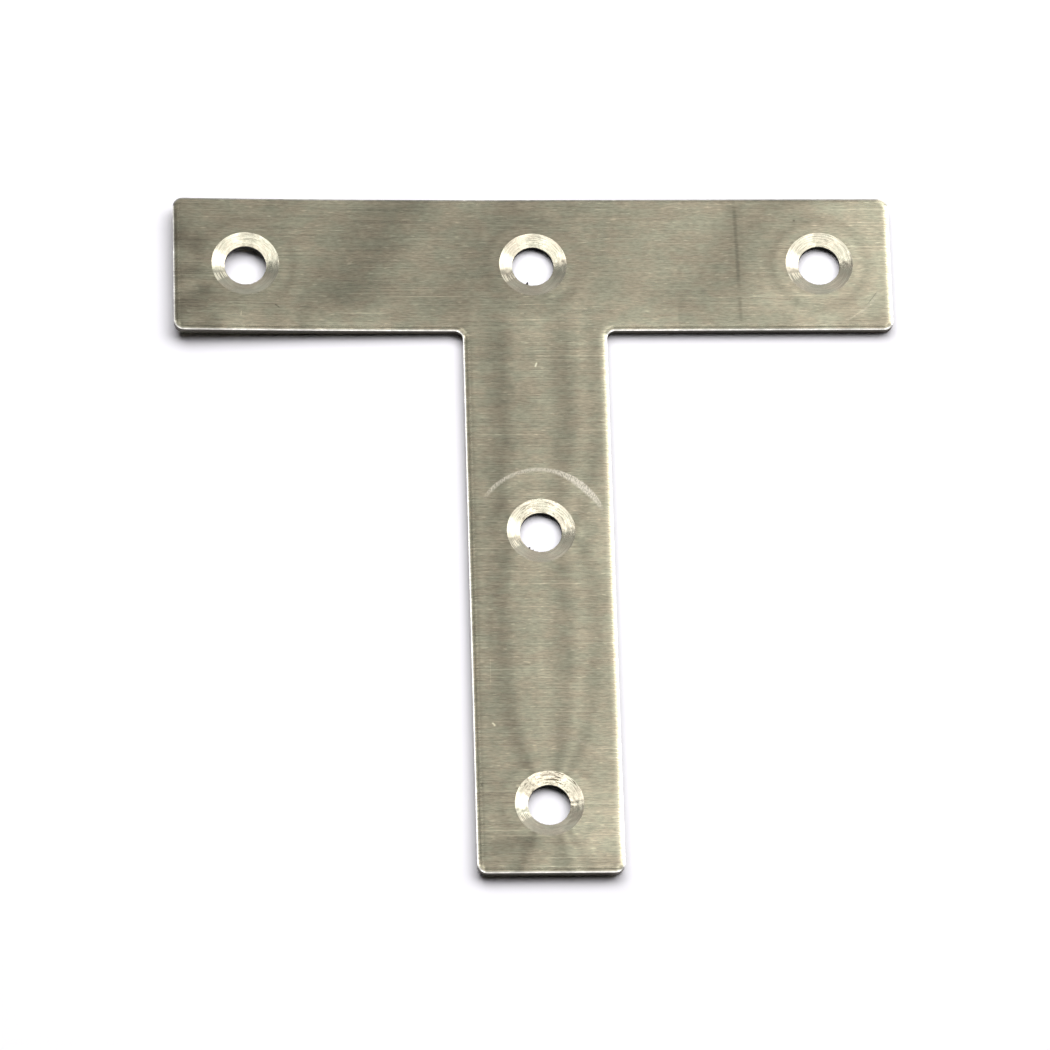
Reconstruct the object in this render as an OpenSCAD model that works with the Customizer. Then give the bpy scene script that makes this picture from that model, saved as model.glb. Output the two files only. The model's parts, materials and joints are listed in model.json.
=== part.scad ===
// Flat T-shaped mending plate, blanked from brushed stainless sheet, with countersunk screw holes.
// Millimetres. The underside lies on Z = 0, the crossbar is on the +Y side and the stem runs towards -Y.

/* [Outline] */
// Length of the crossbar
bar_length = 100; // [60:1:160]
// Width of the crossbar
bar_width = 20; // [14:0.5:30]
// Width of the stem
stem_width = 20; // [14:0.5:30]
// Overall height, from the outer edge of the crossbar to the foot of the stem
overall_height = 100; // [70:1:160]
// Thickness of the sheet
thickness = 1.5; // [1.2:0.1:4]

/* [Corners and edges] */
// Plan radius of the six outer corners
corner_radius = 1.4; // [1.3:0.1:5]
// Plan radius of the two inside corners
inside_radius = 1.2; // [0.6:0.1:8]
// How far in from the edge the upper face begins to roll over
edge_roll_width = 1.2; // [0.3:0.1:1.2]
// How far the upper face has dropped where it meets the side
edge_roll_drop = 0.3; // [0.1:0.05:0.5]

/* [Screw holes] */
// Diameter of the through holes
hole_diameter = 5.8; // [3:0.1:7]
// Diameter of the countersinks at the upper face
countersink_diameter = 9.4; // [7.5:0.1:11]
// Depth of the countersinks below the upper face
countersink_depth = 0.7; // [0.3:0.05:1]
// Distance from an outer hole of the crossbar to the end of the bar
bar_hole_inset = 10; // [7.5:0.5:30]
// Distance from the outer edge of the crossbar to the line of its holes
bar_hole_line = 10; // [7.5:0.5:12]
// Distance from the outer edge of the crossbar to the middle hole of the stem
middle_hole_reach = 50; // [32:1:70]
// Distance from the foot of the stem to the lowest hole
foot_hole_inset = 10; // [7.5:0.5:25]

/* [Hidden] */
$fn = 96;

// Lines of the outline
half_bar = bar_length / 2;
half_stem = stem_width / 2;
bar_top = overall_height / 2;
bar_low = bar_top - bar_width;
foot = -overall_height / 2;

// Straight runs between the rounded corners
arm_run = half_bar - half_stem - corner_radius - inside_radius;
end_run = bar_width - 2 * corner_radius;
stem_run = bar_low - foot - corner_radius - inside_radius;

// The arc of the rolled edge starts a hair above the face, so that it leaves the face at a clean line
roll_rise = 0.003;
roll_fall = edge_roll_drop + roll_rise;
roll_radius = (edge_roll_width ^ 2 + roll_fall ^ 2) / (2 * roll_fall);

// How far a cut runs on past the surface that it opens
cut_past = 0.3;
steel = [0.68, 0.66, 0.60];

hole_places = [
    [-half_bar + bar_hole_inset, bar_top - bar_hole_line],
    [0, bar_top - bar_hole_line],
    [half_bar - bar_hole_inset, bar_top - bar_hole_line],
    [0, bar_top - middle_hole_reach],
    [0, foot + foot_hole_inset],
];

// What lies outside a round corner whose centre is the origin
module corner_scrap(radius) {
    difference() {
        square(radius + cut_past);
        circle(radius);
    }
}

// What fills an inside corner whose round has its centre at the origin
module inside_fill(radius) {
    difference() {
        square(radius);
        circle(radius);
    }
}

// Right-hand side of the plan, from the middle line outwards
module half_plan() {
    difference() {
        union() {
            translate([0, bar_low]) square([half_bar, bar_width]);
            translate([0, foot]) square([half_stem, overall_height]);
            translate([half_stem + inside_radius, bar_low - inside_radius])
                rotate(90) inside_fill(inside_radius);
        }
        translate([half_bar - corner_radius, bar_top - corner_radius]) corner_scrap(corner_radius);
        translate([half_bar - corner_radius, bar_low + corner_radius])
            rotate(270) corner_scrap(corner_radius);
        translate([half_stem - corner_radius, foot + corner_radius])
            rotate(270) corner_scrap(corner_radius);
    }
}

// Section of what the punch rolls off an edge: X points out of the plate, Y up, and the side is at X = 0
module roll_section() {
    difference() {
        translate([-edge_roll_width, thickness - 2 * edge_roll_drop])
            square([edge_roll_width + cut_past, 2 * edge_roll_drop + cut_past]);
        translate([-edge_roll_width, thickness + roll_rise - roll_radius]) circle(roll_radius);
    }
}

// Rolled edge along a straight run that goes clockwise round the plan and faces the given way
module roll_run(start, facing, run) {
    translate(start) rotate(facing) rotate([90, 0, 0]) linear_extrude(run) roll_section();
}

// Rolled edge round an outer corner
module roll_corner(centre, facing) {
    translate(centre) rotate(facing) rotate_extrude(angle = 90)
        translate([corner_radius, 0]) roll_section();
}

// Rolled edge round an inside corner
module roll_inside(centre, facing) {
    translate(centre) rotate(facing) rotate_extrude(angle = 90)
        translate([inside_radius, 0]) mirror([1, 0]) roll_section();
}

// Rolled edge down the right-hand side, clockwise from the middle of the crossbar to the middle of the foot
module half_roll() {
    roll_run([0, bar_top], 90, half_bar - corner_radius);
    roll_corner([half_bar - corner_radius, bar_top - corner_radius], 0);
    roll_run([half_bar, bar_top - corner_radius], 0, end_run);
    roll_corner([half_bar - corner_radius, bar_low + corner_radius], 270);
    roll_run([half_bar - corner_radius, bar_low], 270, arm_run);
    roll_inside([half_stem + inside_radius, bar_low - inside_radius], 90);
    roll_run([half_stem, bar_low - inside_radius], 0, stem_run);
    roll_corner([half_stem - corner_radius, foot + corner_radius], 270);
    roll_run([half_stem - corner_radius, foot], 270, half_stem - corner_radius);
}

// Through hole and its countersink, as one turned cutter
module screw_hole() {
    hole_r = hole_diameter / 2;
    cone_slope = (countersink_diameter / 2 - hole_r) / countersink_depth;
    rotate_extrude()
        polygon([
            [0, -cut_past],
            [hole_r, -cut_past],
            [hole_r, thickness - countersink_depth],
            [hole_r + cone_slope * (countersink_depth + cut_past), thickness + cut_past],
            [0, thickness + cut_past],
        ]);
}

module t_plate() {
    color(steel) difference() {
        linear_extrude(thickness) {
            half_plan();
            mirror([1, 0]) half_plan();
        }
        half_roll();
        mirror([1, 0, 0]) half_roll();
        for (place = hole_places) translate(place) screw_hole();
    }
}

t_plate();
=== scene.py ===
import json
import math

import bmesh
import bpy
from mathutils import Matrix, Vector, noise


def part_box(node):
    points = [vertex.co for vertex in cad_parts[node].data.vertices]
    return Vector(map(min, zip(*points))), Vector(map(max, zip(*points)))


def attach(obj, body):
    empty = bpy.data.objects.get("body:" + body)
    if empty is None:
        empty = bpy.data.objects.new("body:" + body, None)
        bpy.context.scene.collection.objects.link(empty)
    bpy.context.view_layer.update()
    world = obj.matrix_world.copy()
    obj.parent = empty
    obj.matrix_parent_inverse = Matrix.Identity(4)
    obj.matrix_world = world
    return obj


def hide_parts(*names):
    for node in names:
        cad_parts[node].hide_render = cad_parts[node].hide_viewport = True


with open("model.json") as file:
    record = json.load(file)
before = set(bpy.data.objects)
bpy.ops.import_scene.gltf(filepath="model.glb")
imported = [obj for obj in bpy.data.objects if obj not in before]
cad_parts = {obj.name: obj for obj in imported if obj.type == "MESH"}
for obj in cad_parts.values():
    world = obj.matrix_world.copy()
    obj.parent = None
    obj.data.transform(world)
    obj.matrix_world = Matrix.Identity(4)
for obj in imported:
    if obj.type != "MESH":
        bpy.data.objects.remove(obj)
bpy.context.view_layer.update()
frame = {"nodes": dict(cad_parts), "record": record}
scene = bpy.context.scene
mm = 0.001
print("frame loaded:", sorted(frame["nodes"]))


# Camera, at the photo's angle
shot = {
    "aim": (-2.192, 0.803, 1.5),  # mm, the point in the middle of the picture
    "azimuth": -9.114,
    "elevation": 67.366,
    "roll": 8.147,
    "distance": 1095.7,  # mm
    "lens": 273.74,
    "sensor": 36.0,
    "clip": (0.01, 20.0),  # m
}


def makeCamera():
    azimuth = math.radians(shot["azimuth"])
    elevation = math.radians(shot["elevation"])
    level = math.cos(elevation)
    back = Vector((math.sin(azimuth) * level, -math.cos(azimuth) * level, math.sin(elevation)))
    data = bpy.data.cameras.new("photoCamera")
    data.lens = shot["lens"]
    data.sensor_width = shot["sensor"]
    data.clip_start, data.clip_end = shot["clip"]
    camera = bpy.data.objects.new("photoCamera", data)
    scene.collection.objects.link(camera)
    place = Matrix.Translation((Vector(shot["aim"]) + back * shot["distance"]) * mm)
    turn = (-back).to_track_quat("-Z", "Y").to_matrix().to_4x4()
    camera.matrix_world = place @ turn @ Matrix.Rotation(math.radians(shot["roll"]), 4, "Z")
    scene.camera = camera


makeCamera()
print("camera set")


# Small helpers for node trees
def addNode(tree, kind, inputs=None, **settings):
    node = tree.nodes.new(kind)
    for name, value in settings.items():
        setattr(node, name, value)
    for name, value in (inputs or {}).items():
        if isinstance(value, bpy.types.NodeSocket):
            tree.links.new(value, node.inputs[name])
        else:
            node.inputs[name].default_value = value
    return node


def calc(tree, operation, *values):
    return addNode(tree, "ShaderNodeMath", dict(enumerate(values)), operation=operation).outputs[0]


def calcVector(tree, operation, *values):
    node = addNode(tree, "ShaderNodeVectorMath", dict(enumerate(values)), operation=operation)
    return node.outputs[0]


def chain(tree, operation, *values):
    result = values[0]
    for value in values[1:]:
        result = calc(tree, operation, result, value)
    return result


def times(tree, *values):
    return chain(tree, "MULTIPLY", *values)


def addShare(tree, base, value, share):
    return calc(tree, "MULTIPLY_ADD", value, share, base)


def remap(tree, value, low, high, toLow=0.0, toHigh=1.0, shape="SMOOTHSTEP"):
    inputs = {"Value": value, "From Min": low, "From Max": high, "To Min": toLow, "To Max": toHigh}
    return addNode(tree, "ShaderNodeMapRange", inputs, interpolation_type=shape).outputs["Result"]


def split(tree, vector):
    return addNode(tree, "ShaderNodeSeparateXYZ", {0: vector}).outputs


def join(tree, x, y, z):
    return addNode(tree, "ShaderNodeCombineXYZ", {"X": x, "Y": y, "Z": z}).outputs[0]


def vectorLength(tree, vector):
    return addNode(tree, "ShaderNodeVectorMath", {0: vector}, operation="LENGTH").outputs["Value"]


def mixColour(tree, factor, first, second, blend="MIX"):
    inputs = {"Factor": factor, 6: first, 7: second}
    return addNode(tree, "ShaderNodeMix", inputs, data_type="RGBA", blend_type=blend).outputs[2]


def shadeColour(tree, colour, tone):
    return mixColour(tree, 1.0, colour, join(tree, tone, tone, tone), "MULTIPLY")


def noiseValue(tree, vector, scale, detail=2.0, rough=0.5):
    inputs = {"Vector": vector, "Scale": scale, "Detail": detail, "Roughness": rough}
    return addNode(tree, "ShaderNodeTexNoise", inputs).outputs[0]


# A ramp of places and tones, whose stops hold half the tone so that it can pass 1
def softBands(tree, value, stops):
    first = stops[0][0]
    reach = stops[-1][0] - first
    share = remap(tree, value, first, first + reach, shape="LINEAR")
    node = addNode(tree, "ShaderNodeValToRGB", {"Fac": share})
    ramp = node.color_ramp
    ramp.interpolation = "EASE"
    while len(ramp.elements) < len(stops):
        ramp.elements.new(0.5)
    for element, (place, tone) in zip(ramp.elements, stops):
        element.position = (place - first) / reach
        element.color = (tone / 2, tone / 2, tone / 2, 1.0)
    return calc(tree, "MULTIPLY", node.outputs["Color"], 2.0)


def newMaterial(name):
    material = bpy.data.materials.new(name)
    material.use_nodes = True
    tree = material.node_tree
    return material, tree, tree.nodes["Principled BSDF"]


def objectPlace(tree, scale=(1.0, 1.0, 1.0)):
    place = addNode(tree, "ShaderNodeTexCoord").outputs["Object"]
    return calcVector(tree, "MULTIPLY", place, Vector(scale) / mm)  # in mm


def mapPlace(tree, name):
    return addNode(tree, "ShaderNodeUVMap", uv_map=name).outputs[0]


def newGroup(name, inputs, outputs):
    tree = bpy.data.node_groups.new(name, "ShaderNodeTree")
    for label, kind, value in inputs:
        socket = tree.interface.new_socket(label, in_out="INPUT", socket_type=kind)
        if value is not None:
            socket.default_value = value
    for label, kind in outputs:
        tree.interface.new_socket(label, in_out="OUTPUT", socket_type=kind)
    return tree, tree.nodes.new("NodeGroupInput").outputs, tree.nodes.new("NodeGroupOutput").inputs


def placeGroup(tree, group, inputs):
    return addNode(tree, "ShaderNodeGroup", inputs, node_tree=group).outputs


# Fine straight lines along X, for the brushing, the tool rings and the sheared sides
lineLook = {
    "noise": (1.0, 2.0, 0.6),  # scale, detail, roughness
    "contrast": (0.28, 0.72),
    "strayNoise": (0.8, 1.0),
    "strayFade": 0.13,
    "strays": [
        # output, shift of the pattern, where it sets in
        ("Glints", (17.3, 5.1, 9.7), 0.64),
        ("Cuts", (-6.9, 23.2, 31.4), 0.66),
    ],
}


def fineLinesGroup():
    inputs = [
        ("Vector", "NodeSocketVector", None),
        ("Length", "NodeSocketFloat", 4.0),
        ("Width", "NodeSocketFloat", 0.2),
    ]
    outputs = [("Lines", "NodeSocketFloat"), ("Glints", "NodeSocketFloat"), ("Cuts", "NodeSocketFloat")]
    tree, given, made = newGroup("fineLines", inputs, outputs)
    along = calc(tree, "DIVIDE", 1.0, given["Length"])
    across = calc(tree, "DIVIDE", 1.0, given["Width"])
    drawn = calcVector(tree, "MULTIPLY", given["Vector"], join(tree, along, across, across))
    lines = noiseValue(tree, drawn, *lineLook["noise"])
    tree.links.new(remap(tree, lines, *lineLook["contrast"]), made["Lines"])
    for label, shift, low in lineLook["strays"]:
        strays = noiseValue(tree, calcVector(tree, "ADD", drawn, shift), *lineLook["strayNoise"])
        tree.links.new(remap(tree, strays, low, low + lineLook["strayFade"]), made[label])
    return tree


# Cloudy warm and cool tints of bare steel
tintLook = {
    "stretch": (0.6, 1.0, 1.0),
    "noise": (0.4, 3.0, 0.65),
    "contrast": (0.34, 0.66),
    "warm": (1.035, 0.985, 0.98, 1.0),
    "cool": (0.965, 1.01, 1.01, 1.0),
}


def steelTintGroup():
    inputs = [
        ("Vector", "NodeSocketVector", None),
        ("Steel", "NodeSocketColor", (0.5, 0.47, 0.36, 1.0)),
        ("Amount", "NodeSocketFloat", 0.5),
    ]
    tree, given, made = newGroup("steelTint", inputs, [("Color", "NodeSocketColor")])
    stretched = calcVector(tree, "MULTIPLY", given["Vector"], tintLook["stretch"])
    cloud = remap(tree, noiseValue(tree, stretched, *tintLook["noise"]), *tintLook["contrast"])
    tint = mixColour(tree, cloud, tintLook["warm"], tintLook["cool"])
    tinted = mixColour(tree, given["Amount"], given["Steel"], tint, "MULTIPLY")
    tree.links.new(tinted, made["Color"])
    return tree


fineLines = fineLinesGroup()
steelTint = steelTintGroup()
print("node groups made")


def drawLines(tree, place, size):
    length, width = size
    return placeGroup(tree, fineLines, {"Vector": place, "Length": length, "Width": width})


def tintSteel(tree, place, steel, amount):
    return placeGroup(tree, steelTint, {"Vector": place, "Steel": steel, "Amount": amount})["Color"]


def finishMetal(tree, shader, finish, colour, roughness, height):
    tree.links.new(colour, shader.inputs["Base Color"])
    tree.links.new(roughness, shader.inputs["Roughness"])
    shader.inputs["Metallic"].default_value = 1.0
    relief = {"Height": height, "Distance": finish["relief"] * mm, "Strength": 1.0}
    tree.links.new(addNode(tree, "ShaderNodeBump", relief).outputs[0], shader.inputs["Normal"])
    if "anisotropy" in finish:
        shader.inputs["Anisotropic"].default_value = finish["anisotropy"]
        tangent = addNode(tree, "ShaderNodeTangent", direction_type="UV_MAP", uv_map="grainMap")
        tree.links.new(tangent.outputs[0], shader.inputs["Tangent"])


# The plate: sizes in mm, and the outer box from the CAD node
plateLow, plateHigh = (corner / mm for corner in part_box("t_plate"))
holes = [mount for mount in frame["record"]["mounts"] if mount["kind"] == "bore"]
holePlaces = [Vector(mount["pos_m"][:2]).to_3d() / mm for mount in holes]
plate = {
    "barWidth": 20.0,
    "stemWidth": 20.0,
    "cornerRadius": 1.4,
    "insideRadius": 1.2,
    "cornerSteps": 10,
    "rollWidth": 1.2,  # how far in the upper face starts to roll over
    "rollDrop": 0.3,
    "rollSteps": 9,
    "flatRing": 0.12,  # narrow flat ring inside the roll, so that the face stays flat in shading
    "shearHeight": 0.55,  # below this the side is torn and draws in a little
    "shearTaper": 0.035,
    "holeRadius": holes[0]["dims"]["r_mm"],
    "wallHeight": holes[0]["dims"]["length_mm"],
    "sinkRadius": 4.7,
    "sinkRings": 10,
    "holeSteps": 160,
    "bowLeft": 1.1,  # how far the ends stand off the floor
    "bowRight": 0.05,
    "bowFoot": 0.45,
    "cutStep": 5.0,
    "cutMerge": 0.0001,
    "merge": 0.0005,
    "close": 0.001,  # counts as touching
    "margin": 0.01,
    "halfHeight": 0.5,
    "wallNormal": 0.3,  # a face whose normal rises less than this is a side or a hole's wall
    "sideNormal": 0.1,
    "sharpAngle": 14.0,
}
slots = {"face": 0, "sink": 1, "side": 2, "wall": 3}  # order of the materials
chatter = {
    "turns": 8.0,  # noise cells round a countersink
    "rings": 2.6,  # noise cells per mm outwards
    "depth": 0.014,
    "footDepth": 0.03,
    "footFrom": -30.0,
    "rim": 0.04,
    "rimTurns": 2.3,  # finer than the chatter by this
    "holeShift": 0.37,  # so that no two holes are alike
}
burrs = [
    # hole, turn and spread in degrees, reach in mm
    {"hole": (0, 40), "turn": -109, "spread": 5.5, "reach": 0.8},
    {"hole": (0, 0), "turn": -128, "spread": 6.0, "reach": 0.52},
    {"hole": (0, 0), "turn": -115, "spread": 5.0, "reach": 0.46},
]


def roundCorners(bm, verts, radius):
    bmesh.ops.bevel(
        bm,
        geom=verts,
        offset=radius,
        offset_type="OFFSET",
        segments=plate["cornerSteps"],
        profile=0.5,
        affect="VERTICES",
        material=-1,
        clamp_overlap=False,
    )


def cutBlank(bm):
    arm = plateHigh.x
    stem = plate["stemWidth"] / 2
    top = plateHigh.y
    low = top - plate["barWidth"]
    foot = plateLow.y
    height = plateHigh.z - plate["rollDrop"]
    corners = [
        (-arm, low), (-stem, low), (-stem, foot), (stem, foot),
        (stem, low), (arm, low), (arm, top), (-arm, top),
    ]
    verts = [bm.verts.new((x, y, height)) for x, y in corners]
    bm.faces.new(verts)
    inside = [verts[1], verts[4]]
    roundCorners(bm, [v for v in verts if v not in inside], plate["cornerRadius"])
    roundCorners(bm, [v for v in bm.verts if v in inside], plate["insideRadius"])


def rollEdge(bm):
    width = plate["rollWidth"]
    drop = plate["rollDrop"]
    radius = (width ** 2 + drop ** 2) / (2 * drop)
    steepest = math.asin(width / radius)
    bm.faces.ensure_lookup_table()
    face = bm.faces[0]
    reach = 0.0
    rise = 0.0
    for step in range(1, plate["rollSteps"] + 1):
        angle = steepest * (1 - step / plate["rollSteps"])
        nextReach = width - radius * math.sin(angle)
        nextRise = drop - radius * (1 - math.cos(angle))
        bmesh.ops.inset_region(
            bm, faces=[face], thickness=nextReach - reach, use_boundary=True, use_even_offset=True
        )
        bmesh.ops.translate(bm, verts=face.verts, vec=(0, 0, nextRise - rise))
        reach = nextReach
        rise = nextRise
    bmesh.ops.inset_region(
        bm, faces=[face], thickness=plate["flatRing"], use_boundary=True, use_even_offset=True
    )
    return face


def openEdges(bm, height):
    def atHeight(edge):
        return all(abs(v.co.z - height) < plate["close"] for v in edge.verts)

    return [edge for edge in bm.edges if edge.is_boundary and atHeight(edge)]


def dropSide(bm, start, end):
    side = bmesh.ops.extrude_edge_only(bm, edges=openEdges(bm, start))["geom"]
    verts = [v for v in side if isinstance(v, bmesh.types.BMVert)]
    bmesh.ops.translate(bm, verts=verts, vec=(0, 0, end - start))


def turnHole(bm, place):
    top = plateHigh.z
    radius = plate["holeRadius"]
    wall = plate["wallHeight"]
    spread = plate["sinkRadius"] - radius
    points = [(radius, 0.0), (radius, wall / 2), (radius, wall)]
    for ring in range(1, plate["sinkRings"] + 1):
        share = ring / plate["sinkRings"]
        points.append((radius + spread * share, wall + (top - wall) * share))
    verts = [bm.verts.new((place.x + r, place.y, z)) for r, z in points]
    edges = [bm.edges.new(pair) for pair in zip(verts, verts[1:])]
    bmesh.ops.spin(
        bm,
        geom=verts + edges,
        cent=place,
        axis=(0, 0, 1),
        angle=2 * math.pi,
        steps=plate["holeSteps"],
        use_merge=True,
    )


def buildPlate():
    bm = bmesh.new()
    cutBlank(bm)
    face = rollEdge(bm)
    bmesh.ops.delete(bm, geom=[face], context="FACES_ONLY")
    sideTop = plateHigh.z - plate["rollDrop"]
    dropSide(bm, sideTop, plate["shearHeight"])
    dropSide(bm, plate["shearHeight"], 0.0)
    for place in holePlaces:
        turnHole(bm, place)
    bmesh.ops.remove_doubles(bm, verts=bm.verts, dist=plate["merge"])
    for height in (plateHigh.z, 0.0):
        bmesh.ops.triangle_fill(bm, edges=openEdges(bm, height), use_beauty=True, normal=(0, 0, 1))
    bmesh.ops.recalc_face_normals(bm, faces=bm.faces)
    return bm


# Cuts across the wide faces, so that they can bow
def cutAcross(bm):
    step = plate["cutStep"]
    for axis in (Vector((1, 0, 0)), Vector((0, 1, 0))):
        reach = plateHigh.dot(axis)
        place = step - reach
        while place < reach - step / 2:
            bmesh.ops.bisect_plane(
                bm,
                geom=list(bm.verts) + list(bm.edges) + list(bm.faces),
                dist=plate["cutMerge"],
                plane_co=axis * place,
                plane_no=axis,
            )
            place += step


def nearestHole(point):
    return min(holePlaces, key=lambda place: (point.xy - place.xy).length)


# grainMap: U runs across the brushing, and outwards on the countersinks
# sinkMap: mm from the middle of the nearest hole
# rollMap: U is 0 on the face and 1 at the end of the roll, V is 1 on the upper side
# nearSide: how far the surface turns to the front
def paintPlate(bm):
    grain = bm.loops.layers.uv.new("grainMap")
    sink = bm.loops.layers.uv.new("sinkMap")
    roll = bm.loops.layers.uv.new("rollMap")
    near = bm.verts.layers.float.new("nearSide")
    bm.normal_update()
    for v in bm.verts:
        v[near] = max(0.0, -v.normal.y)
    for face in bm.faces:
        face.smooth = True
        middle = face.calc_center_median()
        hole = nearestHole(middle)
        inSink = middle.z > plate["margin"] and (middle.xy - hole.xy).length < plate["sinkRadius"]
        isWall = abs(face.normal.z) < plate["wallNormal"]
        if inSink:
            face.material_index = slots["wall"] if isWall else slots["sink"]
        else:
            face.material_index = slots["side"] if isWall else slots["face"]
        start = math.atan2(middle.y - hole.y, middle.x - hole.x)
        for loop in face.loops:
            away = loop.vert.co - hole
            loop[sink].uv = (away.x, away.y)
            fall = min(max((plateHigh.z - loop.vert.co.z) / plate["rollDrop"], 0.0), 1.0)
            loop[roll].uv = (math.sqrt(fall), 1.0) if middle.z > plate["halfHeight"] else (0.0, 0.0)
            if inSink:
                turn = math.atan2(away.y, away.x) - start
                turn = (turn + math.pi) % (2 * math.pi) - math.pi
                loop[grain].uv = (away.xy.length, (start + turn) * plate["sinkRadius"])
            else:
                loop[grain].uv = (loop.vert.co.y, -loop.vert.co.x)


# The torn lower part of the sides draws in
def taperSides(bm):
    bm.normal_update()
    for v in bm.verts:
        isLow = v.co.z < plate["close"]
        away = (v.co - nearestHole(v.co)).xy.length
        outwards = v.normal.xy
        if isLow and away > plate["sinkRadius"] and outwards.length > plate["sideNormal"]:
            shift = outwards.normalized() * plate["shearTaper"]
            v.co.x -= shift.x
            v.co.y -= shift.y


# Tool chatter on the countersinks, uneven rims and the burrs that the drill left
def roughenHoles(bm):
    margin = plate["margin"]
    for v in bm.verts:
        hole = nearestHole(v.co)
        away = (v.co - hole).xy
        radius = away.length
        if radius > plate["sinkRadius"] + plate["close"]:
            continue
        way = away.normalized()
        spot = Vector((way.x, way.y, 0)) * chatter["turns"] + hole * chatter["holeShift"]
        if plate["holeRadius"] + margin < radius < plate["sinkRadius"] - margin:
            depth = chatter["footDepth"] if hole.y < chatter["footFrom"] else chatter["depth"]
            v.co.z += depth * noise.noise(spot + Vector((0, 0, radius * chatter["rings"])))
        else:
            jog = chatter["rim"] * noise.noise(spot * chatter["rimTurns"] + Vector((0, 0, v.co.z)))
            v.co.x += way.x * jog
            v.co.y += way.y * jog
        if v.co.z < margin:
            turn = math.degrees(math.atan2(away.y, away.x))
            for burr in burrs:
                atHole = (hole.xy - Vector(burr["hole"])).length < plate["holeRadius"]
                share = abs(turn - burr["turn"]) / burr["spread"]
                if atHole and share < 1:
                    reach = burr["reach"] * (1 - share ** 2)
                    v.co.x -= way.x * reach
                    v.co.y -= way.y * reach


def bowPlate(bm):
    for v in bm.verts:
        leftShare = max(0.0, v.co.x / plateLow.x)
        rightShare = max(0.0, v.co.x / plateHigh.x)
        footShare = max(0.0, v.co.y / plateLow.y)
        v.co.z += plate["bowLeft"] * leftShare ** 2
        v.co.z += plate["bowRight"] * rightShare ** 2
        v.co.z += plate["bowFoot"] * footShare ** 2


def makePlate(materials):
    bm = buildPlate()
    cutAcross(bm)
    paintPlate(bm)
    taperSides(bm)
    roughenHoles(bm)
    bowPlate(bm)
    bmesh.ops.scale(bm, vec=(mm, mm, mm), verts=bm.verts)
    mesh = bpy.data.meshes.new("tPlate")
    bm.to_mesh(mesh)
    bm.free()
    for material in materials:
        mesh.materials.append(material)
    mesh.set_sharp_from_angle(angle=math.radians(plate["sharpAngle"]))
    piece = bpy.data.objects.new("tPlate", mesh)
    scene.collection.objects.link(piece)
    print("plate made:", len(mesh.vertices), "vertices,", len(mesh.polygons), "faces")
    return piece


# Brushed upper and lower faces. Ranges are from and to, in mm where they follow X or Y, then the result
faceFinish = {
    "steel": (0.52, 0.482, 0.356, 1.0),
    "tint": 0.9,
    "roughness": 0.3,
    "roughSpread": 0.03,
    "anisotropy": 0.8,
    "relief": 0.002,  # mm
    "dashes": (1.0, 0.2),  # length and width of a brush line, mm
    "streaks": (14.0, 0.2),
    "dashTone": (0.73, 1.07),
    "streakTone": 0.13,
    "dashGlints": 0.4,
    "streakGlints": 0.34,
    "dashCuts": -0.12,
    "cloudNoise": (0.16, 2.0),  # scale, detail
    "cloud": (0.35, 0.65),
    "mottle": (0.95, 1.05),
    "smearStretch": (0.3, 1.0, 1.0),
    "smearNoise": (0.9, 2.0),
    "smear": (0.32, 0.68, 0.97, 1.04),
    "pinch": (-15.0, -25.0, 3.0, 40.0),  # along Y
    "pinchSoft": 4.0,
    "stemShift": (4.0, 14.0, 0.0, -1.0),  # along Y
    "onStem": (36.0, 29.0),  # along Y
    "barLean": -0.6,
    "barShift": 24.0,
    "haloOnRight": (24.0, 30.0, 0.0, 0.9),  # along X
    "raysOnLeft": (-38.0, -44.0),  # along X
    "rayStart": (5.0, 7.5),  # from the hole's middle
}
# The rolled edge is burnished. Ranges are shares of its width, 1 at the side
edgeFinish = {
    "roughness": 0.14,
    "polish": (0.2, 0.75),
    "tone": -0.18,
    "toneFade": (0.4, 0.85),
    "rubNoise": (0.9, 3.0, 0.7),
    "rub": (0.35, 0.7, -0.08, 0.1),
    "edgeShade": 0.45,  # painted shade half way down the front-facing edges, leaving a thin highlight at the rim
    "edgeShadeStart": (0.45, 0.62),
    "edgeShadeEnd": (0.92, 0.8),
    "edgeShadeTurn": (0.05, 0.2),  # of nearSide
    # paler, less yellow outer rim: partly the burnish, partly a painted highlight that whitens the edge
    "rim": (0.58, 0.565, 0.53, 1.0),
    "rimFade": (0.72, 0.95),
}
# Soft bands of painted reflection, where the slightly buckled sheet would mirror the room's lights: place
# in mm, tone
stemSheenBands = [
    (-14.0, 0.92), (-9.3, 0.9), (-6.0, 0.69), (-3.4, 1.02), (-0.6, 1.1),
    (3.0, 0.82), (5.2, 1.1), (7.2, 0.88), (9.6, 1.06),
]
# The bar's bands also run darker towards the left end and lighter towards the right: painted shade and
# light from the room's light on the right
barSheenBands = [
    (-48.0, 0.74), (-34.0, 0.84), (-23.5, 0.58), (-16.0, 0.81), (-6.0, 0.67),
    (4.0, 0.83), (18.0, 0.88), (28.0, 0.7), (42.0, 1.12),
]
# Painted reflection rings round a hole, where the dished sheet would mirror the room: mm from its middle,
# tone
holeReflectionRings = [(4.7, 0.97), (5.4, 1.04), (6.6, 0.85), (8.2, 1.06), (11.0, 1.0)]
# Painted reflection: dark rays from the left hole to the end of the bar: degrees from the -X side, tone
leftReflectionRays = [
    (-80.0, 1.0), (-52.0, 0.9), (-36.0, 0.66), (-22.0, 1.06), (-9.0, 0.78),
    (5.0, 1.08), (20.0, 0.66), (42.0, 0.96), (70.0, 1.0),
]
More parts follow.
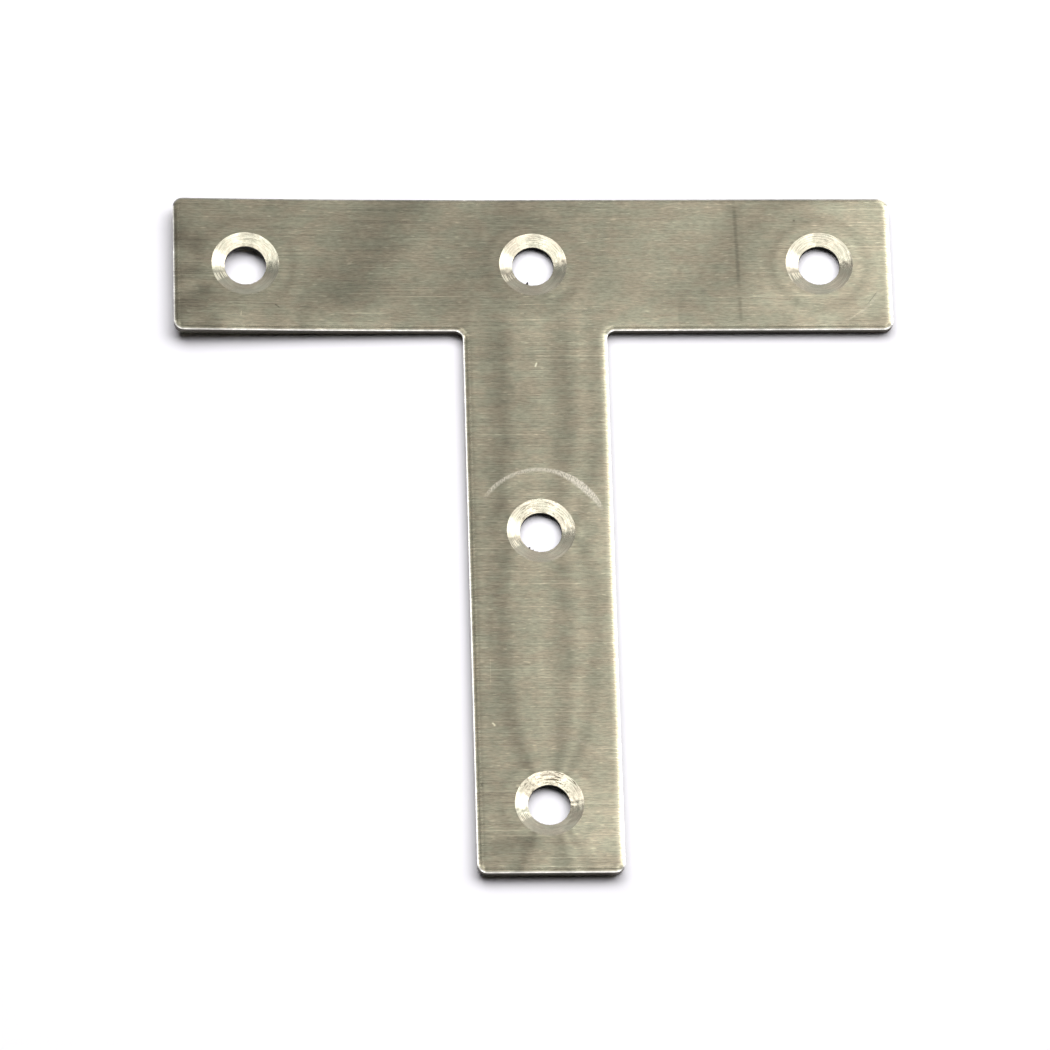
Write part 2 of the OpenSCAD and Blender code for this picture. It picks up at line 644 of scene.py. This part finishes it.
# Small marks: X and Y of the middle, turn in degrees, length, width, tone
strokes = [
    (28.5, 42.8, 91.2, 17.0, 0.85, -0.26),  # stain across the right arm
    (28.7, 33.0, 91.2, 5.0, 0.8, -0.2),
    (28.4, 48.0, 0.0, 3.2, 3.0, -0.12),
    (28.5, 40.6, 91.2, 24.0, 3.0, -0.06),
    (-35.7, 33.6, -38.0, 1.0, 0.3, -0.5),  # nicks and scratches
    (-40.7, 32.45, 83.0, 0.9, 0.24, 0.5),
    (-7.5, -20.8, 89.0, 5.2, 0.22, 0.24),
    (-7.26, -28.5, -50.0, 0.8, 0.42, 1.2),
    (-2.67, -19.75, -8.0, 1.6, 0.26, -0.35),
    (-2.5, -19.4, -8.0, 1.2, 0.22, 0.3),
    (47.25, 34.8, 53.0, 2.8, 0.2, -0.4),
    (44.7, 32.1, 37.0, 2.9, 0.2, 0.3),
    (36.7, 46.6, 0.0, 0.45, 0.42, -0.5),
    (-25.5, 39.5, 40.0, 1.4, 0.26, 0.16),
    (-7.6, -3.3, 0.0, 3.0, 0.26, 0.28),
    (-3.4, -44.7, 0.0, 8.0, 0.2, 0.24),
    (-9.08, -37.3, 90.0, 0.9, 0.55, -0.35),
    (6.8, -42.0, 0.0, 13.0, 16.0, 0.32),  # lighter patch beside the foot hole
    (-5.0, -45.8, 6.0, 11.0, 3.2, -0.2),  # darker patches
    (-7.4, 1.6, 0.0, 7.0, 10.0, -0.14),
    (2.0, 19.0, 90.0, 27.0, 26.0, -0.12),
    (0.0, 24.8, 70.0, 0.9, 0.4, 1.3),  # bright nick at the top of the stem
    (49.3, 49.3, -45.0, 2.6, 1.4, 1.1),  # painted highlight on the corner at the bar's right end
]
strokeFade = {"ends": (1.0, 0.45), "sides": (1.0, 0.1)}
# Rubbed arcs: radius and thickness in mm, start, end and the place of the swelling in degrees
scuffs = [
    {
        "hole": (0, 0), "radius": 9.3, "start": 17, "end": 152,
        "thin": 0.5, "swell": 0.55, "at": 46, "share": 1.15,
    },
    {
        "hole": (40, 40), "radius": 9.4, "start": -75, "end": -20,
        "thin": 0.2, "swell": 0.1, "at": -50, "share": 0.25,
    },
    {
        "hole": (0, -40), "radius": 10.2, "start": 40, "end": 140,
        "thin": 0.25, "swell": 0.1, "at": 70, "share": 0.14,
    },
]
scuffLook = {
    "colour": (1.0, 0.93, 0.78, 1.0),
    "startFade": 9.0,  # degrees
    "endFade": 18.0,
    "swellFade": 42.0,
    "innerFade": 0.2,  # mm
    "outerFade": 0.1,
    "hatchStretch": (1.0, 0.45, 1.0),
    "hatchNoise": (5.5, 2.0),
    "speckle": (0.36, 0.6, 0.25, 1.0),
    "strength": 0.6,
    "swellStrength": 0.4,
}


def strokeMask(tree, place, x, y, turn, length, width):
    inputs = {
        "Vector": place,
        "Location": (x, y, 0.0),
        "Rotation": (0.0, 0.0, math.radians(turn)),
        "Scale": (length / 2, width / 2, 1.0),
    }
    local = addNode(tree, "ShaderNodeMapping", inputs, vector_type="TEXTURE").outputs[0]
    sides = split(tree, calcVector(tree, "ABSOLUTE", local))
    ends = remap(tree, sides["X"], *strokeFade["ends"])
    return times(tree, ends, remap(tree, sides["Y"], *strokeFade["sides"]))


def scuffMask(tree, place, scuff):
    look = scuffLook
    away = calcVector(tree, "SUBTRACT", place, Vector(scuff["hole"]).to_3d())
    radius = vectorLength(tree, away)
    sides = split(tree, away)
    turn = calc(tree, "DEGREES", calc(tree, "ARCTAN2", sides["Y"], sides["X"]))
    start = remap(tree, turn, scuff["start"], scuff["start"] + look["startFade"])
    end = remap(tree, turn, scuff["end"], scuff["end"] - look["endFade"])
    swell = times(
        tree,
        remap(tree, turn, scuff["start"], scuff["at"]),
        remap(tree, turn, scuff["at"] + look["swellFade"], scuff["at"]),
    )
    inner = addShare(tree, scuff["radius"] - scuff["thin"], swell, -scuff["swell"])
    past = calc(tree, "SUBTRACT", radius, inner)
    inside = remap(tree, past, -look["innerFade"], look["innerFade"])
    outside = remap(tree, radius, scuff["radius"] + look["outerFade"], scuff["radius"] - look["outerFade"])
    hatch = calcVector(tree, "MULTIPLY", place, look["hatchStretch"])
    speckle = remap(tree, noiseValue(tree, hatch, *look["hatchNoise"]), *look["speckle"])
    strength = addShare(tree, look["strength"], swell, look["swellStrength"])
    return times(tree, start, end, inside, outside, speckle, strength)


# Painted reflection bands: they pinch in towards the holes of the stem, most at the foot, and lean across
# the bar
def paintedSheenBands(tree, sides, away):
    look = faceFinish
    pinch = remap(tree, sides["Y"], *look["pinch"])
    pinch = calc(tree, "DIVIDE", pinch, addShare(tree, look["pinchSoft"], away["Y"], away["Y"]))
    across = addShare(tree, away["X"], away["X"], pinch)
    across = calc(tree, "ADD", across, remap(tree, sides["Y"], *look["stemShift"]))
    stem = softBands(tree, across, stemSheenBands)
    leaning = addShare(tree, sides["X"], sides["Y"], look["barLean"])
    bar = softBands(tree, calc(tree, "ADD", leaning, look["barShift"]), barSheenBands)
    onStem = remap(tree, sides["Y"], *look["onStem"])
    return addShare(tree, bar, calc(tree, "SUBTRACT", stem, bar), onStem)


# painted reflection rings round the holes, and painted reflection rays at the left hole
def holeTones(tree, sides, away, radius, cloud):
    look = faceFinish
    ring = calc(tree, "SUBTRACT", softBands(tree, radius, holeReflectionRings), 1.0)
    onRight = remap(tree, sides["X"], *look["haloOnRight"])
    halo = addShare(tree, 1.0, ring, calc(tree, "MAXIMUM", cloud, onRight))
    turn = calc(tree, "ARCTAN2", away["Y"], times(tree, away["X"], -1.0))
    rays = softBands(tree, calc(tree, "DEGREES", turn), leftReflectionRays)
    onLeft = remap(tree, sides["X"], *look["raysOnLeft"])
    onLeft = times(tree, onLeft, remap(tree, radius, *look["rayStart"]))
    rays = addShare(tree, 1.0, calc(tree, "SUBTRACT", rays, 1.0), onLeft)
    return halo, rays


# The edge is rubbed unevenly, and gets painted shade half way down where it faces the front
def edgeTones(tree, place, roll):
    look = edgeFinish
    rubbed = remap(tree, noiseValue(tree, place, *look["rubNoise"]), *look["rub"])
    rubbed = calc(tree, "ADD", rubbed, look["tone"])
    worn = addShare(tree, 1.0, rubbed, remap(tree, roll, *look["toneFade"]))
    near = addNode(tree, "ShaderNodeAttribute", attribute_name="nearSide").outputs["Fac"]
    edgeShade = times(tree, remap(tree, roll, *look["edgeShadeStart"]), remap(tree, roll, *look["edgeShadeEnd"]))
    edgeShade = times(tree, edgeShade, remap(tree, near, *look["edgeShadeTurn"]), look["edgeShade"])
    return worn, calc(tree, "SUBTRACT", 1.0, edgeShade)


def brushedFace():
    look = faceFinish
    material, tree, shader = newMaterial("brushedFace")
    place = objectPlace(tree, (1.0, 1.0, 0.0))
    sides = split(tree, place)
    holePlace = mapPlace(tree, "sinkMap")
    away = split(tree, holePlace)
    radius = vectorLength(tree, holePlace)
    rolled = split(tree, mapPlace(tree, "rollMap"))
    roll = rolled["X"]
    upper = rolled["Y"]
    dashes = drawLines(tree, place, look["dashes"])
    streaks = drawLines(tree, place, look["streaks"])

    tone = remap(tree, dashes["Lines"], 0.0, 1.0, *look["dashTone"], shape="LINEAR")
    tone = addShare(tree, tone, streaks["Lines"], look["streakTone"])
    tone = addShare(tree, tone, dashes["Glints"], look["dashGlints"])
    tone = addShare(tree, tone, streaks["Glints"], look["streakGlints"])
    tone = addShare(tree, tone, dashes["Cuts"], look["dashCuts"])
    cloud = remap(tree, noiseValue(tree, place, *look["cloudNoise"]), *look["cloud"])
    mottle = remap(tree, cloud, 0.0, 1.0, *look["mottle"], shape="LINEAR")
    smear = calcVector(tree, "MULTIPLY", place, look["smearStretch"])
    smear = remap(tree, noiseValue(tree, smear, *look["smearNoise"]), *look["smear"])
    # painted reflections: bands of the buckled sheet, rings round the holes and rays at the left hole
    sheenBands = paintedSheenBands(tree, sides, away)
    halo, rays = holeTones(tree, sides, away, radius, cloud)
    tone = times(tree, tone, sheenBands, halo, rays, mottle, smear)

    marks = 0.0
    for x, y, turn, length, width, share in strokes:
        marks = addShare(tree, marks, strokeMask(tree, place, x, y, turn, length, width), share)
    tone = times(tree, tone, addShare(tree, 1.0, marks, upper))
    scuffed = 0.0
    for scuff in scuffs:
        scuffed = addShare(tree, scuffed, scuffMask(tree, place, scuff), scuff["share"])
    scuffed = times(tree, scuffed, upper)
    tone = times(tree, tone, *edgeTones(tree, place, roll))

    colour = tintSteel(tree, place, look["steel"], look["tint"])
    # the outer rim turns paler, partly burnish and partly painted highlight
    colour = mixColour(tree, remap(tree, roll, *edgeFinish["rimFade"]), colour, edgeFinish["rim"])
    colour = mixColour(tree, scuffed, shadeColour(tree, colour, tone), scuffLook["colour"])
    low = look["roughness"] - look["roughSpread"]
    high = look["roughness"] + look["roughSpread"]
    brushed = remap(tree, streaks["Lines"], 0.0, 1.0, low, high)
    toEdge = calc(tree, "SUBTRACT", edgeFinish["roughness"], brushed)
    roughness = addShare(tree, brushed, toEdge, remap(tree, roll, *edgeFinish["polish"]))
    finishMetal(tree, shader, look, colour, roughness, dashes["Lines"])
    return material


# Machined countersinks. Ranges are from and to, then the result
sinkFinish = {
    "steel": (0.5, 0.468, 0.37, 1.0),
    "tint": 0.8,
    "roughness": (0.24, 0.14),  # between the tool lines, and on them
    "anisotropy": 0.6,
    "relief": 0.003,  # mm
    "holeShift": 1.7,  # so that no two holes are alike
    "rings": (2.4, 0.15),  # length and width of a tool line, mm
    "ringTone": (0.86, 1.08),
    "ringCuts": -0.3,
    "chips": (1.3, 0.18),  # length and width of a torn spot, mm
    "chipColour": (0.1, 0.082, 0.055, 1.0),
    "scores": (0.26, 0.08),
    "speckNoise": (3.0, 2.0, 0.6),
    "specks": (0.56, 0.68, 0.0, 0.6),
    "tornFarSide": (0.2, 0.75),
    "tornAtFoot": (30.0, -35.0, 0.3, 1.0),  # along Y
    # painted shade on the near sides of the countersinks at the left and middle of the bar
    "nearSideShade": 0.2,
    "nearShadeX": (30.0, 10.0),
    "nearShadeY": (10.0, 30.0),
    "nearShadeTurn": (0.1, -0.3),
    # painted glint on the near-left side of each countersink
    "paintedGlintTurn": 207.0,  # degrees
    "paintedGlintWidth": (0.985, 0.997),
    "paintedGlintLines": (0.3, 0.6),
    "paintedGlintTone": 0.9,
}


def turnedSink():
    look = sinkFinish
    material, tree, shader = newMaterial("turnedSink")
    place = objectPlace(tree, (1.0, 1.0, 0.0))
    away = mapPlace(tree, "sinkMap")
    radius = vectorLength(tree, away)
    hole = split(tree, calcVector(tree, "SUBTRACT", place, away))
    way = split(tree, calcVector(tree, "NORMALIZE", away))
    middle = (plate["holeRadius"] + plate["sinkRadius"]) / 2
    roundX = addShare(tree, times(tree, way["X"], middle), hole["X"], look["holeShift"])
    roundY = addShare(tree, times(tree, way["Y"], middle), hole["Y"], look["holeShift"])

    def ringLines(size):
        length, width = size
        depth = times(tree, roundY, width / length)
        return drawLines(tree, join(tree, roundX, radius, depth), size)

    rings = ringLines(look["rings"])
    chips = ringLines(look["chips"])
    atFoot = remap(tree, hole["Y"], *look["tornAtFoot"], shape="LINEAR")
    farSide = remap(tree, way["Y"], *look["tornFarSide"])
    specks = remap(tree, noiseValue(tree, place, *look["speckNoise"]), *look["specks"])
    scores = remap(tree, chips["Lines"], *look["scores"])
    torn = chain(tree, "MAXIMUM", chips["Cuts"], scores, specks)
    torn = times(tree, torn, farSide, atFoot)
    tone = remap(tree, rings["Lines"], 0.0, 1.0, *look["ringTone"], shape="LINEAR")
    tone = addShare(tree, tone, times(tree, rings["Cuts"], atFoot), look["ringCuts"])

    # painted shade on the near sides of the holes at the left and middle of the bar, and a painted glint
    # along the tool lines on the near-left side of each
    nearShade = times(tree, remap(tree, hole["X"], *look["nearShadeX"]), remap(tree, hole["Y"], *look["nearShadeY"]))
    nearShade = times(tree, nearShade, remap(tree, way["Y"], *look["nearShadeTurn"]), look["nearSideShade"])
    paintedGlintTurn = math.radians(look["paintedGlintTurn"])
    paintedGlintWay = times(tree, way["X"], math.cos(paintedGlintTurn))
    paintedGlintWay = addShare(tree, paintedGlintWay, way["Y"], math.sin(paintedGlintTurn))
    paintedGlint = remap(tree, paintedGlintWay, *look["paintedGlintWidth"])
    paintedGlint = times(tree, paintedGlint, remap(tree, rings["Lines"], *look["paintedGlintLines"]))
    tone = times(tree, tone, addShare(tree, calc(tree, "SUBTRACT", 1.0, nearShade), paintedGlint, look["paintedGlintTone"]))

    colour = shadeColour(tree, tintSteel(tree, place, look["steel"], look["tint"]), tone)
    colour = mixColour(tree, torn, colour, look["chipColour"])
    roughness = remap(tree, rings["Lines"], 0.0, 1.0, *look["roughness"])
    finishMetal(tree, shader, look, colour, roughness, rings["Lines"])
    return material


# Sheared sides and drilled walls: burnished above, torn below. Their dark colours are painted shade, and
# the darker lower band is partly the torn zone and partly painted shade near the floor
shearLook = {
    "tint": 0.8,
    "levelNoise": (0.7, 2.0),
    "levelShare": -0.35,
    "burnishFrom": (0.3, 0.5),  # mm up the side
    "roughness": (0.62, 0.38),  # torn, burnished
    "lineTone": (0.8, 1.15),
    "crumbNoise": (5.0, 3.0, 0.65),
    "crumbTone": (0.3, 0.7, 0.8, 1.15),
}
sideShadeFinish = {
    # dark colours: painted shade along the sides, next to the floor
    "burnished": (0.13, 0.12, 0.098, 1.0),
    "torn": (0.065, 0.058, 0.048, 1.0),
    "lines": (0.9, 0.12),  # length and width of an upright score line, mm
    "relief": 0.006,  # mm
}
boreShadeFinish = {
    # near-black colours: painted shade inside the holes
    "burnished": (0.035, 0.033, 0.03, 1.0),
    "torn": (0.018, 0.017, 0.016, 1.0),
    "lines": (0.5, 0.1),
    "relief": 0.004,
}


def shearedSteel(name, finish):
    look = shearLook
    material, tree, shader = newMaterial(name)
    place = objectPlace(tree)
    sides = split(tree, place)
    lines = drawLines(tree, join(tree, sides["Z"], sides["X"], sides["Y"]), finish["lines"])
    crumbs = noiseValue(tree, place, *look["crumbNoise"])
    level = addShare(tree, sides["Z"], noiseValue(tree, place, *look["levelNoise"]), look["levelShare"])
    burnished = remap(tree, level, *look["burnishFrom"])
    # darker towards the bottom: partly the torn zone, partly painted shade
    steel = mixColour(tree, burnished, finish["torn"], finish["burnished"])
    tone = times(
        tree,
        remap(tree, lines["Lines"], 0.0, 1.0, *look["lineTone"], shape="LINEAR"),
        remap(tree, crumbs, *look["crumbTone"], shape="LINEAR"),
    )
    colour = shadeColour(tree, tintSteel(tree, place, steel, look["tint"]), tone)
    roughness = remap(tree, burnished, 0.0, 1.0, *look["roughness"])
    height = addShare(tree, lines["Lines"], crumbs, calc(tree, "SUBTRACT", 1.0, burnished))
    finishMetal(tree, shader, finish, colour, roughness, height)
    return material


shearedSide = shearedSteel("shearedSide", sideShadeFinish)
drilledWall = shearedSteel("drilledWall", boreShadeFinish)
plateMaterials = [brushedFace(), turnedSink(), shearedSide, drilledWall]
print("materials made")

tPlate = makePlate(plateMaterials)
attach(tPlate, "root")
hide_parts("t_plate")


# Floor and light
studio = {
    "floorSize": 10.0,  # m
    "floorColour": (0.9, 0.885, 0.925, 1.0),
    "floorRoughness": 0.9,
    "floorDrop": 0.12,  # mm, the plate rests on its burrs
    "skyGlow": 0.12,  # all over the sky
}
# What the metal sees of the room: glow, and fades along the axes of the view direction
skyPatches = {
    "overhead": {"glow": 0.33, "fades": [("X", -0.22, -0.02), ("Y", 0.95, 0.75)]},
    "backWall": {"glow": 0.65, "fades": [("Y", 0.6, 0.98)]},
    "horizon": {"glow": 0.4, "fades": [("Z", 0.4, 0.25)]},
    "ceiling": {
        "glow": 2.05,
        "fades": [("Y", -0.2, -0.34), ("Y", -0.66, -0.48), ("Z", 0.66, 0.78)],
    },
    "rightWindow": {
        "glow": 3.8,
        "fades": [("X", 0.28, 0.9), ("Y", -0.08, 0.2), ("Y", 0.56, 0.44), ("Z", 0.3, 0.42)],
    },
    "rightFront": {
        "glow": 1.3,
        "fades": [("X", 0.14, 0.32), ("Y", 0.1, -0.08), ("Z", 0.68, 0.76)],
    },
    "rightBack": {"glow": 0.2, "fades": [("X", 0.26, 0.46), ("Y", 0.45, 0.6)]},
    "leftDim": {"glow": 0.25, "fades": [("X", 0.0, -0.2)]},
    "leftBack": {"glow": 0.2, "fades": [("X", -0.1, -0.45), ("Y", 0.44, 0.57)]},
    "leftFront": {
        "glow": 1.75,
        "fades": [("X", -0.1, -0.28), ("Y", 0.22, 0.1), ("Z", 0.7, 0.8)],
    },
    "leftWindow": {
        "glow": 2.4,
        "fades": [("X", -0.5, -0.56), ("Y", 0.37, 0.28), ("Y", 0.06, 0.14), ("Z", 0.66, 0.74)],
    },
    "leftWall": {
        "glow": 4.2,
        "fades": [("X", -0.61, -0.69), ("Y", 0.16, 0.28), ("Z", 0.42, 0.54)],
    },
}
softboxes = {
    # middle, aim and size in m, glow of its face
    "keySoftbox": {
        "place": (0.35, 1.0, 1.7), "aim": (0, 0, 0), "size": (3.6, 1.6),
        "glow": 4.9, "inMetal": False,
    },
    "windowCard": {
        "place": (0.47, 0.35, 0.6), "aim": (0.47, 0.35, 0), "size": (0.85, 0.9),
        "glow": 0.45, "onFloor": False,
    },
}


def makeFloor():
    bm = bmesh.new()
    bmesh.ops.create_grid(bm, x_segments=1, y_segments=1, size=studio["floorSize"] / 2)
    bmesh.ops.translate(bm, verts=bm.verts, vec=(0, 0, -studio["floorDrop"] * mm))
    mesh = bpy.data.meshes.new("paleFloor")
    bm.to_mesh(mesh)
    bm.free()
    material, _, shader = newMaterial("paleFloor")
    shader.inputs["Base Color"].default_value = studio["floorColour"]
    shader.inputs["Roughness"].default_value = studio["floorRoughness"]
    shader.inputs["Specular IOR Level"].default_value = 0.0
    mesh.materials.append(material)
    floor = bpy.data.objects.new("paleFloor", mesh)
    scene.collection.objects.link(floor)


def makeSoftbox(name, box):
    data = bpy.data.lights.new(name, "AREA")
    data.shape = "RECTANGLE"
    data.size, data.size_y = box["size"]
    data.energy = box["glow"] * math.pi * data.size * data.size_y
    lamp = bpy.data.objects.new(name, data)
    scene.collection.objects.link(lamp)
    place = Vector(box["place"])
    lamp.location = place
    lamp.rotation_euler = (Vector(box["aim"]) - place).to_track_quat("-Z", "Y").to_euler()
    lamp.visible_camera = False
    lamp.visible_diffuse = box.get("onFloor", True)
    lamp.visible_glossy = box.get("inMetal", True)


def makeSky():
    world = bpy.data.worlds.new("studioSky")
    world.use_nodes = True
    tree = world.node_tree
    way = split(tree, addNode(tree, "ShaderNodeTexCoord").outputs["Generated"])
    glow = studio["skyGlow"]
    for patch in skyPatches.values():
        fades = [remap(tree, way[axis], start, end) for axis, start, end in patch["fades"]]
        glow = addShare(tree, glow, times(tree, *fades), patch["glow"])
    toCamera = addNode(tree, "ShaderNodeLightPath").outputs["Is Camera Ray"]
    background = tree.nodes["Background"].inputs
    background["Color"].default_value = (1.0, 1.0, 1.0, 1.0)
    tree.links.new(calc(tree, "MAXIMUM", glow, toCamera), background["Strength"])
    world.cycles_visibility.diffuse = False  # the softboxes alone light the floor
    scene.world = world


makeFloor()
makeSky()
for name, box in softboxes.items():
    makeSoftbox(name, box)
scene.view_settings.view_transform = "Standard"
print("floor and light set")
